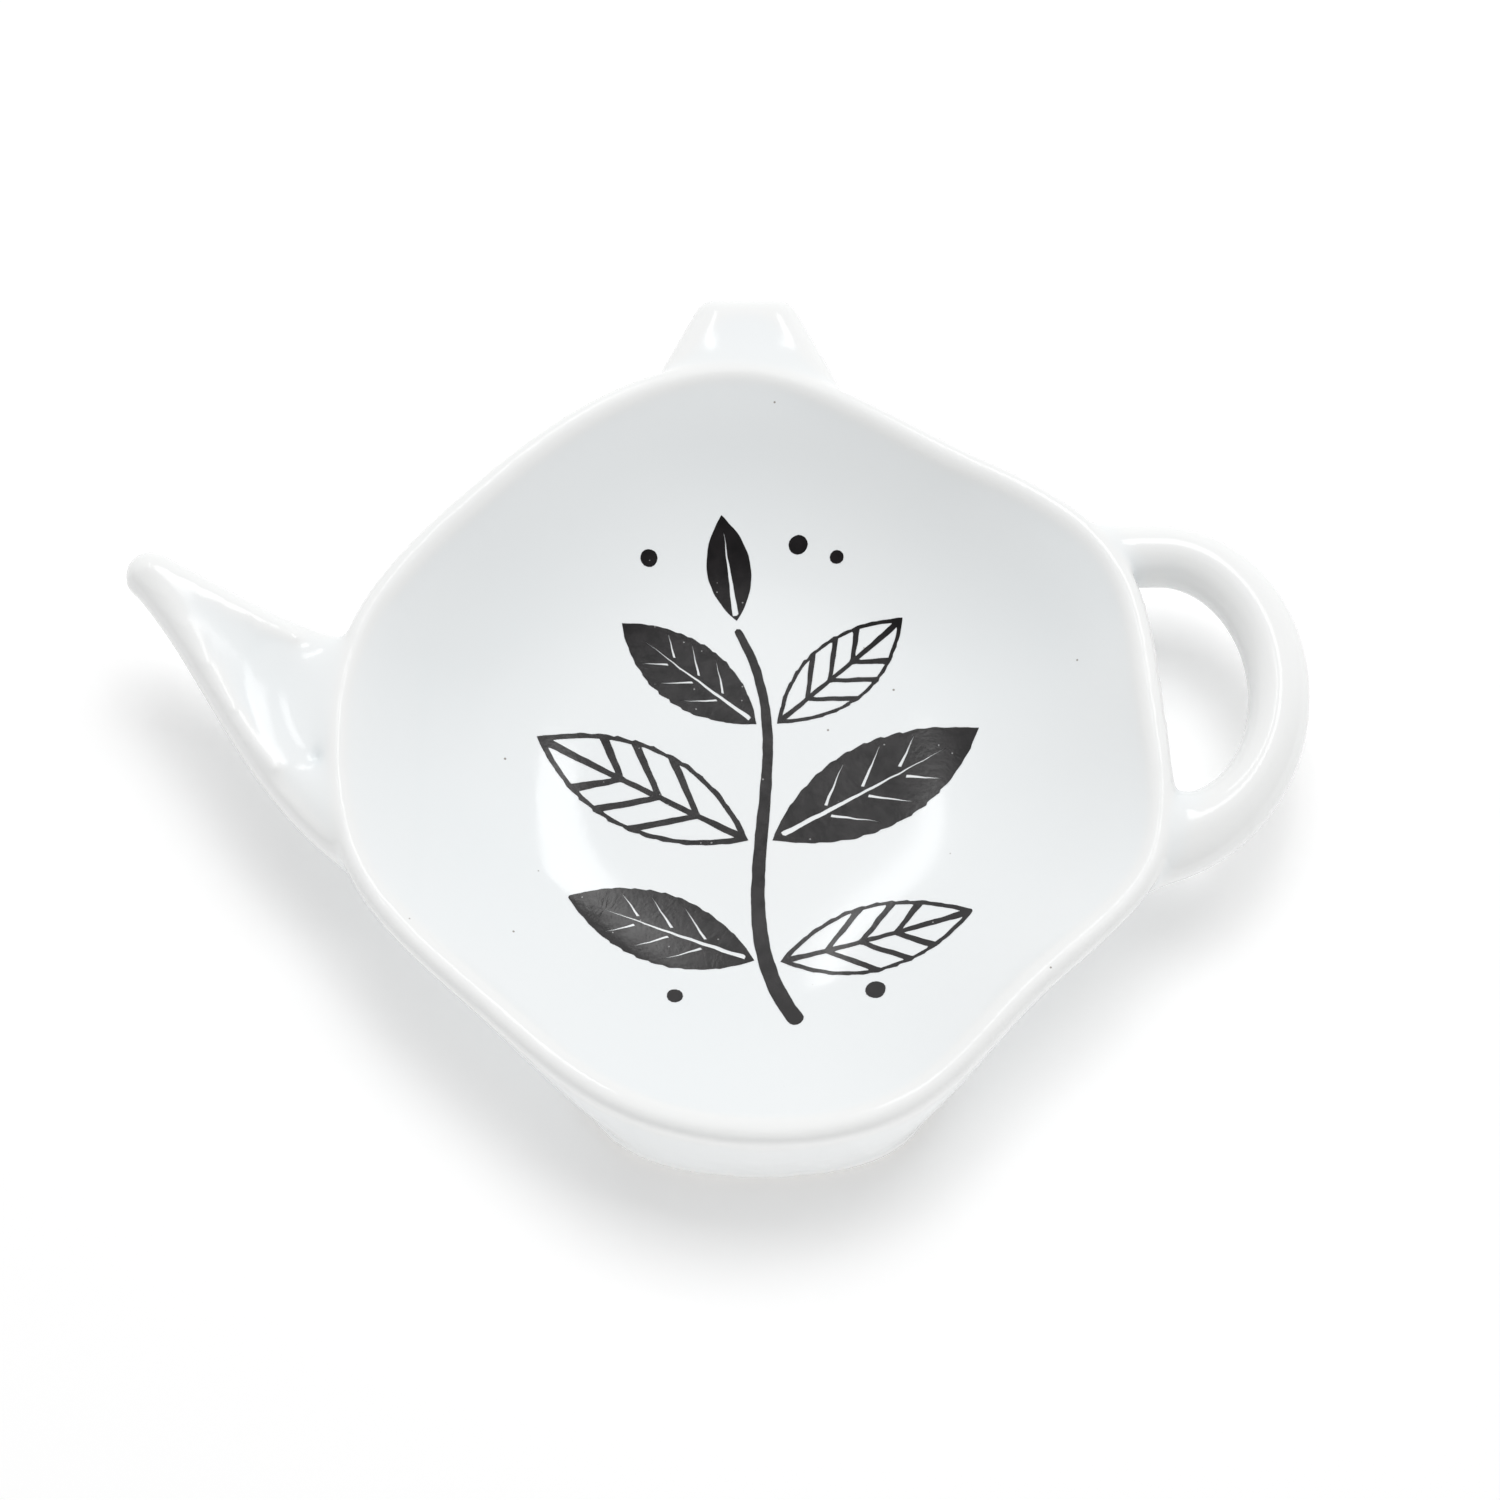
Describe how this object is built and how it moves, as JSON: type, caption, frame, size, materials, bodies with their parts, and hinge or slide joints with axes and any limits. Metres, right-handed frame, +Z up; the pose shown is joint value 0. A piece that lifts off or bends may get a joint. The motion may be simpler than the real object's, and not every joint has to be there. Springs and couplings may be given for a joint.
{
  "type": "tea bag rest",
  "caption": "Shallow glazed porcelain rest for a used tea bag, shaped as a teapot seen from the side, with spout, lid knob, loop handle, foot ring and a printed leaf sprig.",
  "frame": {"origin": "on the table under the middle of the bowl, in the plane of the foot ring's underside", "axes": "+X towards the handle, +Y towards the lid knob at the back, +Z up"},
  "size_m": [0.1207, 0.0963, 0.0156],
  "materials": {
    "white_glaze": "clear gloss glaze over white porcelain",
    "bare_porcelain": "unglazed, fine and matt",
    "black_print": "black transfer film fired into the glaze"
  },
  "bodies": {
    "root": {"dish": "white_glaze", "spout": "white_glaze", "lid_knob": "white_glaze", "handle": "white_glaze", "foot_ring": "bare_porcelain", "decal_stem": "black_print", "decal_solid_leaves": "black_print", "decal_open_leaves": "black_print", "decal_bud": "black_print", "decal_dots": "black_print"}
  },
  "joints": []
}
